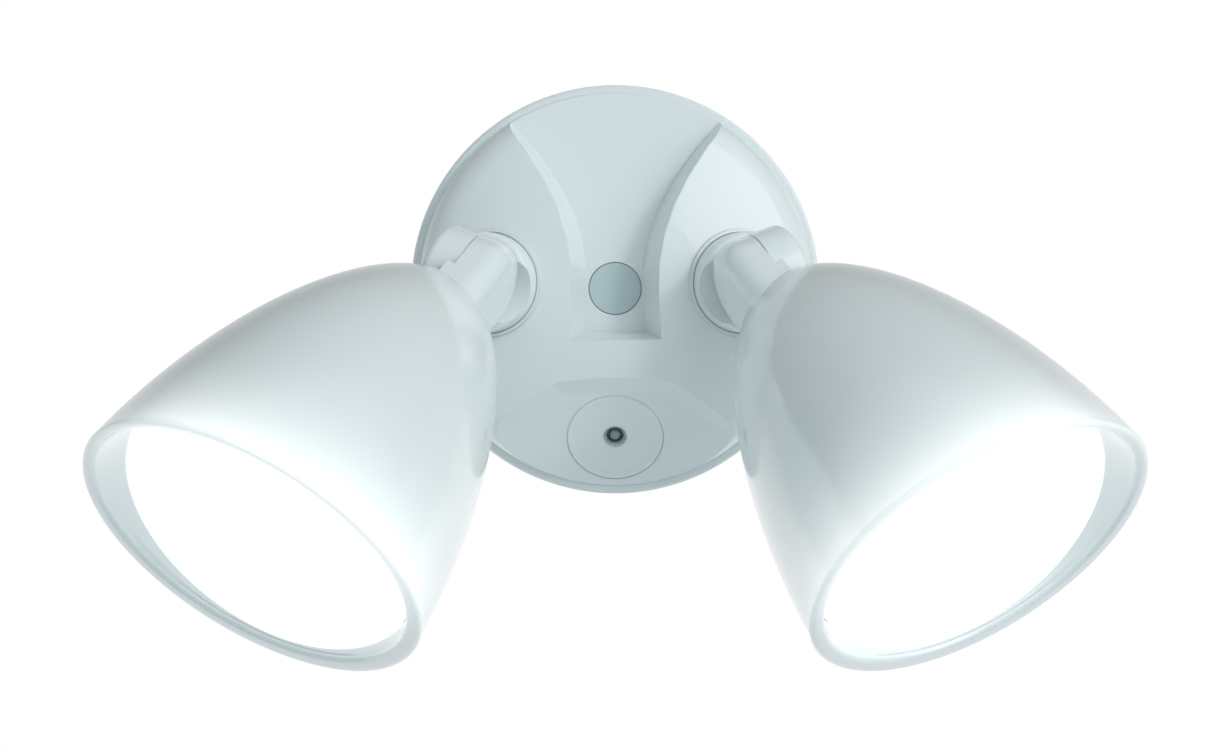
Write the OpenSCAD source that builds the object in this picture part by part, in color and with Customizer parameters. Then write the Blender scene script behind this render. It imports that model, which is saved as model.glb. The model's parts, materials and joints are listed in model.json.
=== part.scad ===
// Outdoor security light with two adjustable heads and a dusk sensor on a round wall canopy.
// Millimetres. X points right, Z points up, and the canopy faces along -Y.
// The origin is the centre of the face that meets the wall, in the plane Y = 0.

/* [Canopy] */
// Outside diameter of the canopy
canopy_d = 127; // [120:1:140]
// Radius of the shallow dome
dome_r = 140; // [125:1:170]
// Radius of the round between the dome and the rim
edge_r = 14; // [10:0.5:16]
// Width of the flat band around the rim
rim_w = 2.5; // [1.5:0.1:4]
// Height of the band above the wall
rim_h = 4; // [3.2:0.1:5]
// Height of the small step from the band up to the dome
rim_step = 0.9; // [0.4:0.1:1.5]
// Wall thickness of the canopy casting
canopy_wall = 2.6; // [2:0.1:3.2]
// Thickness of the foam gasket behind the rim
gasket_t = 1.6; // [1:0.1:2.4]

/* [Valley] */
// Width of the valley floor at its neck
valley_w = 16.8; // [16.6:0.1:20]
// How far each side of the valley spreads from the neck to the rim
valley_spread = 24; // [18:0.5:28]
// How far each side spreads from the neck to the foot
valley_foot = 1.2; // [0.4:0.1:2]
// Height of the neck above the middle of the canopy
valley_neck = 2; // [0:0.5:6]
// Distance of the foot below the middle of the canopy
valley_end = 13.5; // [11:0.5:16]
// Slope of the valley floor against the wall
valley_slope = 6; // [4:0.5:7]
// Draft angle of the valley walls
valley_draft = 16; // [10:1:18]

/* [Sensor face] */
// Slope of the flat face that carries the sensor
face_slope = 29.5; // [27:0.5:31]
// Distance from the canopy's edge up to the sensor
sensor_in = 17.5; // [16.5:0.1:19.5]
// Height of the face above the wall where it meets the rim
face_edge_h = 4.4; // [4.2:0.1:5]
// Distance from the sensor to the top edge of the face
face_top = 16; // [15.6:0.2:18]
// Half the width of the top edge of the face
face_half_w = 16.2; // [14:0.2:20]
// Width of each side edge of the face, from its top corner to the rim
face_side_w = 21.3; // [18:0.3:24]
// Fall of each side edge over that width
face_side_fall = 15.4; // [13:0.2:18]
// Draft angle of the walls around the face
face_draft = 74; // [68:1:76]

/* [Sensor] */
// Diameter of the sensor cover
cover_d = 29.4; // [27:0.2:30]
// Thickness of the sensor cover
cover_t = 1.6; // [1.2:0.1:2]
// Depth of the dish in the cover
cover_dish = 0.5; // [0.2:0.1:0.8]
// Diameter of the eye hole
eye_hole_d = 7.2; // [5:0.2:9]
// Diameter of the light sensitive bead
eye_d = 3.4; // [2.4:0.2:4.4]
// Diameter of the sensor body
cell_d = 19; // [16:0.5:20]
// Length of the sensor body behind the cover
cell_l = 7; // [6:0.2:7.4]

/* [Arms] */
// Distance from the canopy's edge in to the middle of each arm
seat_in = 25; // [21.5:0.5:27.5]
// Height of the arms above the middle of the canopy
seat_rise = 1.4; // [0:0.2:3]
// Diameter of the raised ring that each arm turns in
seat_d = 33; // [32:0.5:36]
// Diameter of the hub of the arm
hub_d = 30; // [28:0.2:30.4]
// Height of the hub above its seat
hub_h = 8.6; // [7:0.2:8.8]
// Height of the tilt axis above the seat
pivot_h = 20; // [19.4:0.2:23]
// Diameter of the round ends of the two lugs
lug_d = 28.8; // [26:0.2:29.4]
// Width of the lug on the arm
arm_lug_w = 11; // [9:0.2:12]
// Width of the lug on the head
head_lug_w = 12; // [10:0.2:13]
// Radius of the round on the outer corner of the head's lug
lug_round = 6.5; // [4:0.2:7]
// Diameter of the hollow stem that passes through the canopy
stem_d = 20; // [18:0.5:21]
// Diameter of the wire way through the stem
wire_d = 12; // [9:0.5:13]
// Diameter of the tilt screw
tilt_screw_d = 6; // [5:0.2:7]

/* [Heads] */
// Largest outside diameter of a head, near its mouth
mouth_d = 104.4; // [98:0.4:106]
// Length of the bullet shape from its tip to the mouth
shell_l = 128.5; // [122:0.5:132]
// Gap between the tilt axis and the tip of the bullet shape
tip_gap = 2.5; // [2:0.1:5]
// Offset of the head's centre line outward from the joint face
head_off = 3.9; // [2:0.1:5]
// Offset of the head's centre line below the tilt axis
head_drop = 4; // [3:0.1:5]
// Wall thickness of the head casting
shell_wall = 2.6; // [2:0.1:3.2]
// Distance from the tilt axis to the front of the lens
lens_z = 111; // [109:0.5:113]
// Distance from the head's largest outline in to the lens
lens_in = 6.9; // [6.7:0.1:8.7]
// Thickness of the lens
lens_t = 3; // [2:0.1:4]
// Thickness of the lens gasket
lens_gasket_t = 1; // [0.6:0.1:1.6]
// Distance from the lens to the mouth, along the centre line
mouth_out = 11; // [10.8:0.2:13]
// Angle of the slanted mouth
mouth_a = 11; // [8:0.5:11.5]
// Flare of the wall in front of the lens, as an angle
mouth_flare = 11.5; // [8:0.5:12]

/* [Light engine] */
// Distance from the lens front back to the top of the heat plate
plate_back = 28.5; // [26:0.5:31]
// Gap between the heat plate and the cavity of the head
plate_gap = 1.7; // [1.5:0.1:3.7]
// Thickness of the heat plate
plate_t = 2.5; // [2:0.1:3]
// Gap between the light board and the foot of the reflector
board_gap = 3; // [2:0.1:5]
// Thickness of the light board
board_t = 1.6; // [1:0.1:2]
// Side of one light chip
chip_w = 3.5; // [2.8:0.1:4]
// Height of one light chip
chip_h = 0.8; // [0.5:0.1:1.2]
// Number of light chips in the outer ring
chip_count = 9; // [6:1:10]
// Gap between the driver can and the posts
driver_gap = 8; // [6:0.5:12]
// Length of the driver can
driver_l = 24; // [18:0.5:28]

/* [Pose in the photograph] */
// Turn of each arm about its seat, up from level
arm_turn = 20; // [10:1:30]
// Tilt of each head about its joint, down from straight out
head_tilt = 40.6; // [30:0.1:50]

/* [Hidden] */
$fn = 96;

// Overrun of every cut past the face that it opens
over = 1;
// Gap between pieces that stand still against each other
fit_gap = 0.2;
// Gap between curved faces that move past each other
move_gap = 0.45;
// Half the gap between the two lugs of a joint
face_gap = 0.15;
// Radial gap of a screw that turns in its bore
run_gap = 0.08;
// Steps along a drawn arc and along a drawn curve
arc_steps = 10;
curve_steps = 30;

// Colours
body_white = "gainsboro";
steel = "silver";
rubber = "dimgray";
lens_white = "white";

// Canopy, worked out
canopy_r = canopy_d / 2;
dome_edge_r = canopy_r - rim_w;
edge_c = [dome_edge_r - edge_r, rim_h + rim_step];
dome_c = edge_c[1] - sqrt(pow(dome_r - edge_r, 2) - pow(edge_c[0], 2));
canopy_h = dome_c + dome_r;
edge_a = asin(edge_c[0] / (dome_r - edge_r));
rim_chamfer = rim_h / 5;
cavity_r = dome_edge_r - canopy_wall;
seat_x = canopy_r - seat_in;
sensor_drop = canopy_r - sensor_in;

// Valley, worked out
valley_lift = 0.6;
valley_top_in = 11.5;
valley_top = canopy_r - valley_top_in;
valley_steps = 8;
floor_h = rim_h + valley_lift + dome_edge_r * tan(valley_slope);

// Centre fixing
plug_d = 16;
plug_t = 1.5;
plug_stem_d = 8.6;
plug_stem_l = 0.7;
well_d = 9.4;
well_deep = 6.211;
well_floor_h = floor_h - well_deep;
centre_screw_d = 4.8;
centre_head_d = 8;
centre_head_h = 2.4;
centre_seal_t = 0.9;

// Crossbar
bar_edge = 6.4;
bar_l = 2 * (cavity_r - bar_edge);
bar_w = 17;
bar_t = 1.8;
slot_w = 4.4;
slot_end = 7.55;
slot_l = 9.55;
slot_out = bar_l / 2 - slot_end;
slot_in = slot_out - slot_l;
ground_x = 20;
ground_screw_d = 4.8;
ground_head_d = 9;
ground_head_h = 3.2;

// Sensor, worked out
face_h = face_edge_h + (dome_edge_r - sensor_drop) * tan(face_slope);
cover_recess = cover_t + fit_gap;
sensor_pad_t = 4.2;
sensor_pad_w = 2;
sensor_pad_d = cover_d + 2 * sensor_pad_w;
sensor_gasket_t = 0.8;
cover_lip = 1.2;
nut_l = 2.4;
nut_w = 2.5;
nut_d = cell_d + 2 * nut_w;
eye_sink = 2.3;
eye_step_w = 1;
eye_step_d = eye_hole_d - 2 * eye_step_w;

// Arm seat, worked out
seat_tilt = asin(seat_x / dome_r);
seat_z = dome_c + sqrt(pow(dome_r, 2) - pow(seat_x, 2));
seat_lift = 0.2;
seat_sink = 1.2;
seat_pad_t = 6;
lug_r = lug_d / 2;
lug_clear_r = lug_r + move_gap;
lug_wedge = 2.4;
lug_reach_r = norm([arm_lug_w, lug_r]);
arm_corner = 3;
arm_web_in = 1.2;
hub_round = 1.4;
hub_gap = 0.3;
stem_end = 13.6;
stem_flat = 8.6;
arm_washer_t = 1.6;
arm_washer_d = 26;
arm_nut_t = 4.6;
arm_nut_d = 28;
seal_shift = 1;
seal_w = 2.5;
seal_in_d = stem_d + 2 * seal_shift;
seal_out_d = seal_in_d + 2 * seal_w;
seal_t = 1.4;
stop_tab_w = 4;
stop_tab_l = 3;
stop_peg_d = 2.6;
stop_peg_h = 1.3;
stop_ring_r = arm_washer_d / 2 + stop_tab_l / 2 + fit_gap;
stop_spare = asin((stop_tab_w / 2 + stop_peg_d / 2 + move_gap) / stop_ring_r);
arm_swing = 180;
wire_top = 2;
wire_small_d = 4.4;
wire_shift = 2.9;
wire_ring_in_d = 11.6;
wire_ring_out_d = 20;
wire_ring_deep = 4.2;
tilt_head_d = 11;
tilt_head_h = 3.4;
tilt_head_deep = 5.2;
tilt_washer_d = 10.6;
tilt_washer_t = 1.4;
tilt_seal_in_d = 22;
tilt_seal_out_d = 24.6;
tilt_seal_t = 1.2;
tilt_screw_end = 10;
hex_d = 5;
hex_deep = 2;

// Head, worked out
mouth_r = mouth_d / 2;
mouth_z = shell_l + tip_gap;
tail_z = 9;
shell_power = 1.75;
shell_root = 0.55;
lens_d = mouth_d - 2 * lens_in;
lens_r = lens_d / 2;
bore_r = lens_r + fit_gap;
ledge_w = 1.8;
ledge_z = lens_z - lens_t - lens_gasket_t;
cavity_head_r = bore_r - ledge_w;
cavity_z = lug_clear_r + lug_wedge + shell_wall;
plate_z = lens_z - plate_back;
plate_d = 2 * (cavity_head_r - plate_gap);
post_d = 8;
post_in = 6;
post_ring_d = plate_d - 2 * post_in;
driver_d = post_ring_d - post_d - 2 * driver_gap;
post_l = 34;
post_hole_l = 10;
plate_screw_d = 3;
plate_screw_l = 9;
plate_head_d = 5.8;
plate_head_h = 2;
board_screw_d = 2.5;
board_head_d = 4.6;
board_head_h = 1.6;
reflector_t = 1.2;
reflector_in = 12;
reflector_in_d = plate_d - 2 * reflector_in;
board_d = reflector_in_d - 2 * board_gap;
board_screw_in = 4;
board_ring_d = board_d - 2 * board_screw_in;
reflector_gap = 0.8;
chip_ring_share = 0.5926;
chip_inner_share = 0.24074;
chip_inner_count = 4;
screw_count = 3;
post_turn = 60;
web_reach = 26;
face_steps = 6;
face_bow = 0.74;

// Points on an arc about c, from angle a0 to angle a1
function arc_pts(c, r, a0, a1, n = arc_steps) =
  [for (i = [0:n]) let (a = a0 + (a1 - a0) * i / n) [c[0] + r * cos(a), c[1] + r * sin(a)]];

// Half width of the valley floor at height y
function valley_side(y) = valley_w / 2 + (y > valley_neck
  ? valley_spread * pow((y - valley_neck) / (valley_top - valley_neck), 2)
  : valley_foot * pow((valley_neck - y) / (valley_neck + valley_end), 2));

// Outside radius of a head at distance z from the tilt axis
function shell_r(z) = z >= mouth_z ? mouth_r
  : mouth_r * pow(1 - pow((mouth_z - z) / shell_l, shell_power), shell_root);

// Frames

// Local Z points out of the wall, local Y points up
module from_wall() {
  rotate([90, 0, 0]) children();
}

// Origin on the sensor face, local Z square to the face
module on_face() {
  translate([0, -sensor_drop, face_h]) rotate([face_slope, 0, 0]) children();
}

// Origin at the middle of the valley floor, local Z square to the floor
module on_valley() {
  translate([0, 0, floor_h]) rotate([-valley_slope, 0, 0]) children();
}

// Origin on the right arm's seat, local Z along the axis that the arm turns on
module on_seat() {
  translate([seat_x, seat_rise, seat_z]) rotate([0, seat_tilt, 0]) translate([0, 0, seat_lift]) children();
}

// Right arm's own frame, local X along the tilt axis
module on_arm() {
  from_wall() on_seat() rotate([0, 0, arm_turn]) children();
}

// Right head's own frame, origin on the tilt axis, local Z along the head
module on_head() {
  on_arm() translate([0, 0, pivot_h]) rotate([head_tilt, 0, 0]) children();
}

// Centre line of the head's round pieces
module to_axis() {
  translate([head_off, -head_drop, 0]) children();
}

module on_axis() {
  on_head() to_axis() children();
}

// Local Z turned to lie along the tilt axis
module along_tilt() {
  rotate([0, 90, 0]) children();
}

module left_of() {
  mirror([1, 0, 0]) children();
}

// Shapes

module ring(d_out, d_in, h) {
  difference() {
    cylinder(d = d_out, h = h);
    translate([0, 0, -over]) cylinder(d = d_in, h = h + 2 * over);
  }
}

// Everything beyond the drafted wall that stands on the line from a to b, moved back by inset
module beyond(a, b, draft, inset) {
  reach = 2 * canopy_d;
  translate([a[0], a[1], 0]) rotate([0, 0, atan2(b[1] - a[1], b[0] - a[0])])
    translate([0, -inset, 0]) rotate([draft, 0, 0])
      translate([-reach, -reach, -reach]) cube([2 * reach, reach, 2 * reach]);
}

module beyond_all(p, draft, inset) {
  intersection_for(i = [0:len(p) - 2]) beyond(p[i], p[i + 1], draft, inset);
}

module above_floor() {
  translate([-canopy_d, -canopy_d, 0]) cube([2 * canopy_d, 2 * canopy_d, canopy_d]);
}

// Canopy

module dome(inset) {
  foot = inset > 0 ? -over : rim_h - rim_chamfer;
  edge = arc_pts(edge_c, edge_r - inset, 90 - edge_a, 0);
  cap = [for (i = [0:arc_steps - 1])
    let (a = edge_a * i / arc_steps) [(dome_r - inset) * sin(a), dome_c + (dome_r - inset) * cos(a)]];
  rotate_extrude() polygon(concat([[0, foot]], cap, edge, [[dome_edge_r - inset, foot]]));
}

module rim() {
  rotate_extrude() polygon([
    [0, gasket_t],
    [canopy_r, gasket_t],
    [canopy_r, rim_h - rim_chamfer],
    [canopy_r - rim_chamfer, rim_h],
    [0, rim_h]
  ]);
}

module valley_cut(inset, steps) {
  side = [for (i = [0:steps])
    let (y = -valley_end + (canopy_r + valley_end) * i / steps) [valley_side(y), y]];
  on_valley() translate([0, 0, -inset]) difference() {
    above_floor();
    for (s = [0, 1]) mirror([s, 0, 0]) beyond_all(side, valley_draft, inset);
    beyond([0, -valley_end], [valley_w, -valley_end], valley_draft, inset);
  }
}

module face_cut(inset, steps) {
  side = [for (i = [steps:-1:0]) let (x = canopy_r * i / steps)
    [face_half_w + x, face_top - face_side_fall * pow(x / face_side_w, face_bow)]];
  on_face() translate([0, 0, -inset]) difference() {
    above_floor();
    for (s = [0, 1]) mirror([s, 0, 0]) beyond_all(side, face_draft, inset);
    beyond([face_half_w, face_top], [-face_half_w, face_top], face_draft, inset);
  }
}

module seat_holes() {
  on_seat() {
    translate([0, 0, -seat_sink]) cylinder(d = hub_d + 2 * move_gap, h = seat_sink + over);
    translate([0, 0, -seat_pad_t - over]) cylinder(d = stem_d + 2 * move_gap, h = seat_pad_t + 2 * over);
  }
}

// The two pegs that stop the tab of the arm's washer
module stop_pegs() {
  on_seat() for (a = [-stop_spare, arm_swing + stop_spare])
    rotate([0, 0, a]) translate([stop_ring_r, 0, -seat_pad_t - stop_peg_h])
      cylinder(d = stop_peg_d, h = stop_peg_h + over);
}

module canopy_outside() {
  difference() {
    union() {
      dome(0);
      rim();
    }
    valley_cut(0, valley_steps);
    face_cut(0, face_steps);
  }
}

module canopy_cavity() {
  difference() {
    dome(canopy_wall);
    valley_cut(canopy_wall, valley_steps / 4);
    face_cut(canopy_wall, face_steps / 3);
    for (s = [0, 1]) mirror([s, 0, 0]) on_seat()
      translate([0, 0, -seat_pad_t]) cylinder(d = seat_d, h = seat_pad_t + over);
    on_face() translate([0, 0, -sensor_pad_t]) cylinder(d = sensor_pad_d, h = sensor_pad_t + over);
    translate([0, 0, well_floor_h - canopy_wall]) cylinder(d = well_d + 2 * canopy_wall, h = canopy_h);
  }
}

module canopy() {
  color(body_white) from_wall() difference() {
    union() {
      difference() {
        canopy_outside();
        canopy_cavity();
      }
      for (s = [0, 1]) mirror([s, 0, 0]) {
        seat_ring();
        stop_pegs();
      }
    }
    for (s = [0, 1]) mirror([s, 0, 0]) seat_holes();
    on_face() {
      translate([0, 0, -cover_recess]) cylinder(d = cover_d + 2 * fit_gap, h = cover_recess + over);
      translate([0, 0, -sensor_pad_t - over]) cylinder(d = cell_d + 2 * fit_gap, h = sensor_pad_t + 2 * over);
    }
    on_valley() translate([0, 0, -plug_t]) cylinder(d = plug_d + 2 * fit_gap, h = plug_t + over);
    translate([0, 0, well_floor_h]) cylinder(d = well_d, h = floor_h);
    cylinder(d = centre_screw_d + 2 * fit_gap, h = floor_h);
  }
}

module seat_ring() {
  on_seat() translate([0, 0, -seat_sink - canopy_wall]) cylinder(d = seat_d, h = seat_sink + canopy_wall);
}

module canopy_gasket() {
  color(rubber) from_wall()
    ring(canopy_d - 2 * rim_chamfer, 2 * cavity_r + 2 * fit_gap, gasket_t);
}

module slot(x0, x1, w) {
  translate([x0, -w / 2, -over]) cube([x1 - x0, w, bar_t + 2 * over]);
  for (x = [x0, x1]) translate([x, 0, -over]) cylinder(d = w, h = bar_t + 2 * over);
}

module crossbar() {
  end_r = bar_w / 2;
  color(steel) from_wall() difference() {
    union() {
      translate([-bar_l / 2 + end_r, -end_r, 0]) cube([bar_l - bar_w, bar_w, bar_t]);
      for (s = [-1, 1]) translate([s * (bar_l / 2 - end_r), 0, 0]) cylinder(d = bar_w, h = bar_t);
    }
    for (s = [0, 1]) mirror([s, 0, 0]) slot(slot_in, slot_out, slot_w);
    translate([0, 0, -over]) cylinder(d = centre_screw_d, h = bar_t + 2 * over);
    translate([-ground_x, 0, -over]) cylinder(d = ground_screw_d, h = bar_t + 2 * over);
  }
}

module ground_screw() {
  color("seagreen") from_wall() translate([-ground_x, 0, 0]) {
    cylinder(d = ground_screw_d, h = bar_t);
    translate([0, 0, bar_t]) cylinder(d = ground_head_d, h = ground_head_h, $fn = 6);
  }
}

module centre_screw() {
  head_z = well_floor_h + centre_seal_t;
  color(steel) from_wall() {
    cylinder(d = centre_screw_d, h = head_z);
    translate([0, 0, head_z]) cylinder(d = centre_head_d, h = centre_head_h);
  }
}

module centre_seal() {
  color(rubber) from_wall() translate([0, 0, well_floor_h])
    ring(centre_head_d, centre_screw_d, centre_seal_t);
}

module centre_plug() {
  color("slategray") from_wall() on_valley() {
    translate([0, 0, -plug_t]) cylinder(d = plug_d, h = plug_t);
    translate([0, 0, -plug_t - plug_stem_l]) cylinder(d = plug_stem_d - fit_gap, h = plug_stem_l);
  }
}

// Sensor

module sensor_cover() {
  color(body_white) from_wall() on_face() translate([0, 0, -cover_t]) difference() {
    rotate_extrude() polygon([
      [0, 0],
      [cover_d / 2, 0],
      [cover_d / 2, cover_t - cover_dish / 2],
      [cover_d / 2 - cover_dish / 2, cover_t],
      [cover_d / 2 - cover_lip, cover_t],
      [cover_d / 2 - cover_lip - cover_dish, cover_t - cover_dish],
      [0, cover_t - cover_dish]
    ]);
    translate([0, 0, -over]) cylinder(d = eye_step_d, h = cover_t + 2 * over);
    translate([0, 0, cover_t / 2]) cylinder(d = eye_hole_d, h = cover_t);
  }
}

module sensor_body() {
  eye_pocket = eye_sink - cover_t + eye_d / 2;
  color("darkslategray") from_wall() on_face() translate([0, 0, -cover_t - cell_l]) difference() {
    cylinder(d = cell_d, h = cell_l);
    translate([0, 0, cell_l - eye_pocket]) cylinder(d = eye_step_d, h = eye_pocket + over);
  }
}

module sensor_eye() {
  color("darkslategray") from_wall() on_face() translate([0, 0, -eye_sink]) {
    sphere(d = eye_d);
    translate([0, 0, -eye_d / 2]) cylinder(d = eye_d, h = eye_d / 2);
  }
}

module sensor_gasket() {
  color(rubber) from_wall() on_face() translate([0, 0, -sensor_pad_t - sensor_gasket_t])
    ring(nut_d, cell_d + fit_gap, sensor_gasket_t);
}

module sensor_nut() {
  color(steel) from_wall() on_face() translate([0, 0, -sensor_pad_t - sensor_gasket_t - nut_l])
    ring(nut_d, cell_d + fit_gap, nut_l);
}

// Arm

// Outline of a lug: x is along the tilt axis, y is away from it, with a round on the outer corner
function lug_outline(x0, x1, corner) =
  concat([[x0, 0]], [[x0, lug_r]],
    arc_pts([x1 - sign(x1) * corner, lug_r - corner], corner, 90, x1 > 0 ? 0 : 180), [[x1, 0]]);

module lug_end(x0, x1, corner) {
  along_tilt() rotate_extrude() polygon([for (v = lug_outline(x0, x1, corner)) [v[1], v[0]]]);
}

module lug_web(x0, x1, corner, reach) {
  half = lug_outline(x0, x1, corner);
  linear_extrude(height = reach) {
    polygon(half);
    mirror([0, 1]) polygon(half);
  }
}

module arm() {
  wire_end = pivot_h - wire_ring_in_d / 2;
  web_h = pivot_h - hub_h + hub_round;
  web_half = lug_r - arm_web_in;
  color(body_white) on_arm() difference() {
    union() {
      rotate_extrude() polygon(concat(
        [[0, -seat_sink + hub_gap]],
        [[hub_d / 2, -seat_sink + hub_gap]],
        arc_pts([hub_d / 2 - hub_round, hub_h - hub_round], hub_round, 0, 90),
        [[0, hub_h]]
      ));
      translate([0, 0, -stem_end]) cylinder(d = stem_d, h = stem_end);
      translate([0, 0, pivot_h]) {
        lug_end(face_gap, arm_lug_w, arm_corner);
        mirror([0, 0, 1]) intersection() {
          lug_web(face_gap, arm_lug_w, arm_corner, web_h);
          translate([0, -web_half, 0]) cube([arm_lug_w, 2 * web_half, web_h]);
          cylinder(r1 = lug_reach_r, r2 = hub_d / 2, h = web_h);
        }
      }
    }
    // Room for the head's lug
    translate([-hub_d, 0, pivot_h]) along_tilt() cylinder(r = lug_clear_r, h = hub_d + face_gap);
    // Seal groove, wire way and the ring shaped room around the tilt screw
    translate([0, 0, -seat_sink - over])
      ring(seal_out_d + 2 * fit_gap, seal_in_d - 2 * fit_gap, seal_t + over);
    translate([0, 0, -stem_end - over]) cylinder(d = wire_d, h = stem_end + wire_top + over);
    translate([wire_shift, 0, 0]) cylinder(d = wire_small_d, h = wire_end);
    translate([0, 0, pivot_h]) along_tilt() {
      ring(wire_ring_out_d, wire_ring_in_d, wire_ring_deep);
      cylinder(r = tilt_screw_d / 2 + run_gap, h = arm_lug_w + over);
      translate([0, 0, arm_lug_w - tilt_head_deep])
        cylinder(d = tilt_head_d + 2 * move_gap, h = tilt_head_deep + over);
    }
    // Flat along the stem that keys the washer
    translate([-stem_d, stem_flat, -stem_end - over])
      cube([2 * stem_d, stem_d, stem_end - seat_pad_t + over]);
  }
}

module arm_seal() {
  color(rubber) on_arm() translate([0, 0, -seat_sink]) ring(seal_out_d, seal_in_d, seal_t);
}

module stem_hole(h) {
  difference() {
    translate([0, 0, -over]) cylinder(d = stem_d + 2 * fit_gap, h = h + 2 * over);
    translate([-stem_d, stem_flat + fit_gap, -2 * over]) cube([2 * stem_d, stem_d, h + 4 * over]);
  }
}

module arm_washer() {
  color(steel) on_arm() translate([0, 0, -seat_pad_t - arm_washer_t]) difference() {
    union() {
      cylinder(d = arm_washer_d, h = arm_washer_t);
      translate([0, -stop_tab_w / 2, 0]) cube([arm_washer_d / 2 + stop_tab_l, stop_tab_w, arm_washer_t]);
    }
    stem_hole(arm_washer_t);
  }
}

module arm_nut() {
  color(steel) on_arm() translate([0, 0, -seat_pad_t - arm_washer_t - arm_nut_t]) difference() {
    cylinder(d = arm_nut_d, h = arm_nut_t, $fn = 6);
    translate([0, 0, -over]) cylinder(d = stem_d + 2 * run_gap, h = arm_nut_t + 2 * over);
  }
}

module tilt_screw() {
  seat = arm_lug_w - tilt_head_deep + tilt_washer_t;
  color(steel) on_head() along_tilt() {
    translate([0, 0, -tilt_screw_end]) cylinder(d = tilt_screw_d, h = tilt_screw_end + seat);
    translate([0, 0, seat]) difference() {
      cylinder(d = tilt_head_d, h = tilt_head_h);
      translate([0, 0, tilt_head_h - hex_deep]) cylinder(d = hex_d, h = hex_deep + over, $fn = 6);
    }
  }
}

module tilt_washer() {
  color(steel) on_head() along_tilt() translate([0, 0, arm_lug_w - tilt_head_deep])
    ring(tilt_washer_d, tilt_screw_d + 2 * fit_gap, tilt_washer_t);
}

module tilt_seal() {
  color(rubber) on_head() along_tilt() translate([0, 0, -face_gap - tilt_seal_t])
    ring(tilt_seal_out_d, tilt_seal_in_d, tilt_seal_t + 2 * face_gap - run_gap);
}

// Head

// Solid inside the outer face of the head moved in by inset, from z0 to z1, no wider than r_max
module bullet(inset, z0, z1, r_max) {
  rows = [for (i = [0:curve_steps]) let (z = z0 + (z1 - z0) * (1 - cos(90 * i / curve_steps)))
    [min(r_max, shell_r(z) - inset), z]];
  rotate_extrude() polygon(concat([[0, z0]], rows, [[0, z1]]));
}

module shell_posts() {
  intersection() {
    bullet(shell_wall / 2, tail_z, ledge_z, mouth_r);
    at_posts() translate([0, 0, plate_z - plate_t - post_l]) cylinder(d = post_d, h = post_l);
  }
}

module at_posts() {
  for (i = [0:screw_count - 1]) rotate([0, 0, 360 * i / screw_count + post_turn])
    translate([post_ring_d / 2, 0, 0]) children();
}

module head_shell() {
  rim_reach = mouth_z + mouth_r / 4;
  color(body_white) on_head() difference() {
    union() {
      difference() {
        union() {
          to_axis() bullet(0, tail_z, rim_reach, mouth_r);
          lug_end(-face_gap, -head_lug_w, lug_round);
          lug_web(-face_gap, -head_lug_w, lug_round, web_reach);
        }
        to_axis() bullet(shell_wall, cavity_z, ledge_z + over, cavity_head_r);
      }
      to_axis() shell_posts();
    }
    to_axis() {
      // Slanted mouth
      translate([0, 0, lens_z + mouth_out]) rotate([mouth_a, 0, 0])
        translate([-mouth_d, -mouth_d, 0]) cube([2 * mouth_d, 2 * mouth_d, mouth_d]);
      // Bore for the lens and the flared wall in front of it
      rotate_extrude() polygon([
        [0, ledge_z],
        [bore_r, ledge_z],
        [bore_r, lens_z],
        [bore_r + (rim_reach + over - lens_z) * tan(mouth_flare), rim_reach + over],
        [0, rim_reach + over]
      ]);
      at_posts() translate([0, 0, plate_z - plate_t - post_hole_l])
        cylinder(d = plate_screw_d, h = post_hole_l + over);
    }
    along_tilt() {
      // Room for the arm's lug
      translate([0, 0, -face_gap])
        cylinder(r1 = lug_clear_r + lug_wedge, r2 = lug_clear_r, h = arm_lug_w + face_gap);
      translate([0, 0, arm_lug_w - over]) cylinder(r = lug_clear_r, h = mouth_d);
      // Screw hole, seal groove and the ring shaped room around the screw
      translate([0, 0, -tilt_screw_end - over])
        cylinder(d = tilt_screw_d + run_gap, h = tilt_screw_end + over);
      translate([0, 0, -face_gap - tilt_seal_t])
        ring(tilt_seal_out_d + fit_gap, tilt_seal_in_d - fit_gap, tilt_seal_t + over);
      translate([0, 0, -wire_ring_deep]) ring(wire_ring_out_d, wire_ring_in_d, wire_ring_deep);
    }
    translate([-wire_shift, 0, wire_ring_in_d / 2]) cylinder(d = wire_small_d, h = web_reach);
  }
}

module lens() {
  color(lens_white) on_axis() translate([0, 0, lens_z - lens_t]) cylinder(r = lens_r, h = lens_t);
}

module lens_gasket() {
  color(rubber) on_axis() translate([0, 0, ledge_z])
    ring(lens_d, lens_d - 2 * ledge_w + 2 * fit_gap, lens_gasket_t);
}

module reflector() {
  foot = reflector_in_d / 2;
  top = cavity_head_r - reflector_gap;
  top_z = ledge_z - reflector_gap;
  color(lens_white) on_axis() rotate_extrude() polygon([
    [foot, plate_z],
    [foot + reflector_t, plate_z],
    [top, top_z],
    [top - reflector_t, top_z]
  ]);
}

module heat_plate() {
  color(steel) on_axis() difference() {
    translate([0, 0, plate_z - plate_t]) cylinder(d = plate_d, h = plate_t);
    translate([0, 0, plate_z - plate_t - over]) {
      at_posts() cylinder(d = plate_screw_d + fit_gap, h = plate_t + 2 * over);
      at_board() cylinder(d = board_screw_d, h = plate_t + 2 * over);
      cylinder(d = wire_small_d, h = plate_t + 2 * over);
    }
  }
}

module pan_screw(d, l, head_d, head_h) {
  translate([0, 0, -l]) cylinder(d = d - run_gap, h = l);
  difference() {
    cylinder(d = head_d, h = head_h);
    translate([0, 0, head_h / 2]) cylinder(d = head_d / 3, h = head_h, $fn = 6);
  }
}

module plate_screws() {
  color(steel) on_axis() at_posts() translate([0, 0, plate_z])
    pan_screw(plate_screw_d, plate_screw_l, plate_head_d, plate_head_h);
}

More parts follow.
